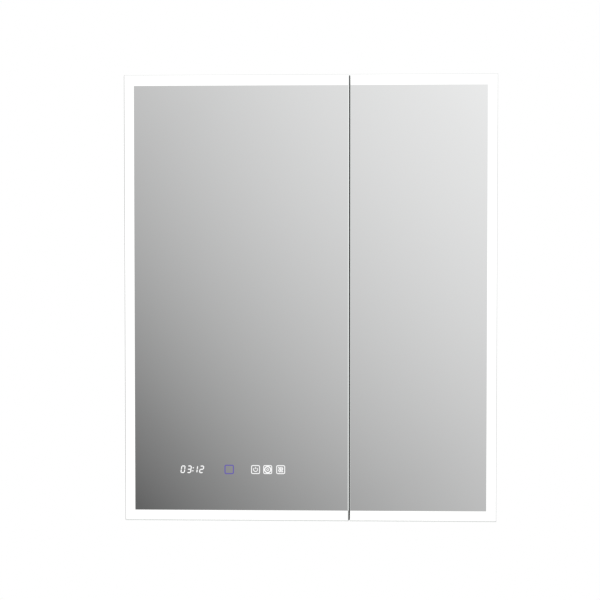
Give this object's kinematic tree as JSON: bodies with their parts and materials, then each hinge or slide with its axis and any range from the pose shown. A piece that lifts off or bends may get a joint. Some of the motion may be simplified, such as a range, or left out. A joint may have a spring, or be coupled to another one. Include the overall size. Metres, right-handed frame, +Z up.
{
  "type": "mirrored medicine cabinet",
  "caption": "Wall-hung aluminium medicine cabinet with unequal mirrored doors, lit frosted borders, clock and touch keys, glass shelves and concealed hinges.",
  "frame": {"origin": "centre of the back face, on the wall plane", "axes": "+Z up, +X to the right seen from the room, +Y into the wall; the doors face -Y"},
  "size_m": [0.762, 0.13, 0.9144],
  "materials": {
    "satin_aluminium": "satin anodised",
    "zinc_key": "cast zinc",
    "white_sheet": "powder coat",
    "back_aluminium": "mill finish",
    "silver_mirror": "silvered glass",
    "clear_glass": "polished edges",
    "zinc_screw": "zinc plated",
    "nickel_hinge": "nickel plated",
    "clip_nylon": "clear nylon",
    "opal_acrylic": "opal",
    "led_tape": "white solder mask",
    "black_plastic": "moulded",
    "grey_plastic": "moulded",
    "heating_film": "carbon film",
    "silicone": "translucent",
    "black_rubber": "matt",
    "green_board": "solder mask",
    "strike_steel": "nickel plated"
  },
  "bodies": {
    "cabinet": {"back_panel": "back_aluminium", "back_panel_screws": "zinc_screw", "bottom_panel": "satin_aluminium", "cable_grommet": "black_rubber", "corner_keys": "zinc_key", "cover_screws": "zinc_screw", "door_bumpers": "silicone", "driver_cover": "white_sheet", "glass_shelf_lower": "clear_glass", "glass_shelf_middle": "clear_glass", "glass_shelf_upper": "clear_glass", "hinge_arms": "nickel_hinge", "hinge_plates": "nickel_hinge", "hinge_screws": "zinc_screw", "interior_mirror": "silver_mirror", "led_driver": "white_sheet", "magnet_catches": "grey_plastic", "shelf_clips": "clip_nylon", "shelf_track_left_front": "satin_aluminium", "shelf_track_left_rear": "satin_aluminium", "shelf_track_right_front": "satin_aluminium", "shelf_track_right_rear": "satin_aluminium", "side_panel_left": "satin_aluminium", "side_panel_right": "satin_aluminium", "terminal_block": "grey_plastic", "top_panel": "satin_aluminium", "track_screws": "zinc_screw"},
    "left_door": {"left_bottom_rail": "satin_aluminium", "left_clock_module": "black_plastic", "left_cup_screws": "zinc_screw", "left_defogger_pad": "heating_film", "left_frame_keys": "zinc_key", "left_front_mirror": "silver_mirror", "left_hinge_cups": "nickel_hinge", "left_hinge_pins": "nickel_hinge", "left_inner_mirror": "silver_mirror", "left_led_strips": "led_tape", "left_light_diffuser": "opal_acrylic", "left_meeting_seal": "black_rubber", "left_meeting_stile": "satin_aluminium", "left_outer_stile": "satin_aluminium", "left_strike_plate": "strike_steel", "left_top_rail": "satin_aluminium", "left_touch_board": "green_board"},
    "right_door": {"right_bottom_rail": "satin_aluminium", "right_cup_screws": "zinc_screw", "right_defogger_pad": "heating_film", "right_frame_keys": "zinc_key", "right_front_mirror": "silver_mirror", "right_hinge_cups": "nickel_hinge", "right_hinge_pins": "nickel_hinge", "right_inner_mirror": "silver_mirror", "right_led_strips": "led_tape", "right_light_diffuser": "opal_acrylic", "right_meeting_stile": "satin_aluminium", "right_outer_stile": "satin_aluminium", "right_strike_plate": "strike_steel", "right_top_rail": "satin_aluminium"}
  },
  "joints": [
    {"name": "left_door_hinge", "type": "hinge", "parent": "cabinet", "child": "left_door", "pos_m": [-0.373, -0.113, 0], "axis": [0, 0, -1], "range_deg": [0, 100]},
    {"name": "right_door_hinge", "type": "hinge", "parent": "cabinet", "child": "right_door", "pos_m": [0.373, -0.113, 0], "axis": [0, 0, 1], "range_deg": [0, 100]}
  ]
}
